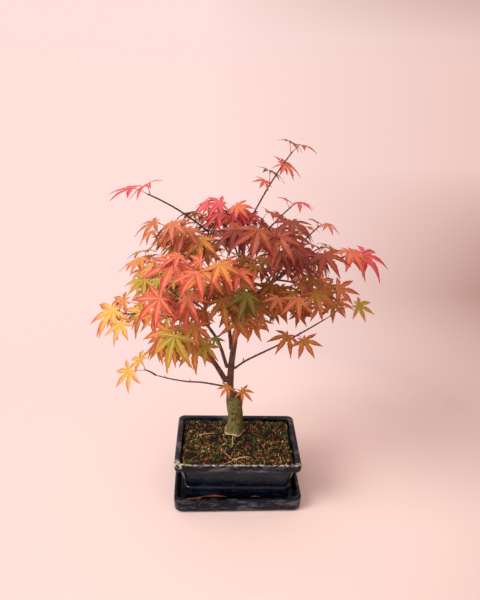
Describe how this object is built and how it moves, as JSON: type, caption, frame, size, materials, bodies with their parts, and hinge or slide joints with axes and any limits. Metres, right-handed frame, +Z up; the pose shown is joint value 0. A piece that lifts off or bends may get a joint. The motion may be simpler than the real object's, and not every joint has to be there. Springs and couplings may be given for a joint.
{
  "type": "potted maple bonsai",
  "caption": "Small maple bonsai in autumn leaf: chopped trunk with a new leader, thin boughs and open sprays of star leaves, in a glazed rectangular pot on a drip tray",
  "frame": {"origin": "on the flat underside of the drip tray, under the middle of the pot", "axes": "+Z up along the trunk, -Y toward the front of the pot, +X to its right, along the pot's long side"},
  "size_m": [0.3433, 0.3157, 0.4276],
  "materials": {
    "navy_glaze": "glossy glaze",
    "soil_mix": "coarse and damp",
    "old_bark": "mossy bark",
    "young_bark": "smooth bark",
    "yellow_leaves": "thin leaf",
    "orange_leaves": "thin leaf",
    "coral_leaves": "thin leaf",
    "brown_leaves": "thin leaf",
    "red_leaves": "thin leaf",
    "crimson_leaves": "thin leaf"
  },
  "bodies": {
    "root": {"drip_tray": "navy_glaze", "pot": "navy_glaze", "soil": "soil_mix", "trunk": "old_bark", "left_bough": "young_bark", "middle_bough": "young_bark", "rising_bough": "young_bark", "upper_bough": "young_bark", "crest_bough": "young_bark", "front_bough": "young_bark", "right_bough": "young_bark", "low_left_bough": "young_bark", "back_bough": "young_bark", "back_right_bough": "young_bark", "low_left_spray": "orange_leaves", "outer_left_spray": "yellow_leaves", "left_front_spray": "yellow_leaves", "left_middle_spray": "orange_leaves", "left_upper_spray": "coral_leaves", "top_left_shoot": "crimson_leaves", "front_left_spray": "coral_leaves", "front_middle_spray": "brown_leaves", "front_low_spray": "brown_leaves", "front_right_spray": "brown_leaves", "front_high_spray": "coral_leaves", "crest_spray": "crimson_leaves", "top_shoot": "crimson_leaves", "crimson_shoot": "crimson_leaves", "upper_right_spray": "red_leaves", "right_top_runner": "red_leaves", "right_spray": "red_leaves", "right_end_spray": "crimson_leaves", "right_low_spray": "orange_leaves", "star_spray": "orange_leaves", "right_back_spray": "red_leaves", "back_right_spray": "brown_leaves", "back_middle_spray": "brown_leaves", "back_left_spray": "orange_leaves", "back_high_spray": "red_leaves", "back_low_spray": "orange_leaves", "left_back_spray": "yellow_leaves", "left_back_high_spray": "orange_leaves", "left_low_spray": "yellow_leaves", "left_inner_spray": "coral_leaves", "middle_left_spray": "orange_leaves", "middle_spray": "brown_leaves", "upper_front_spray": "brown_leaves", "right_middle_spray": "brown_leaves", "right_front_spray": "brown_leaves", "upper_middle_spray": "red_leaves", "left_far_spray": "orange_leaves", "back_top_spray": "brown_leaves", "back_far_spray": "orange_leaves", "inner_spray": "yellow_leaves", "trunk_spur": "brown_leaves"}
  },
  "joints": []
}
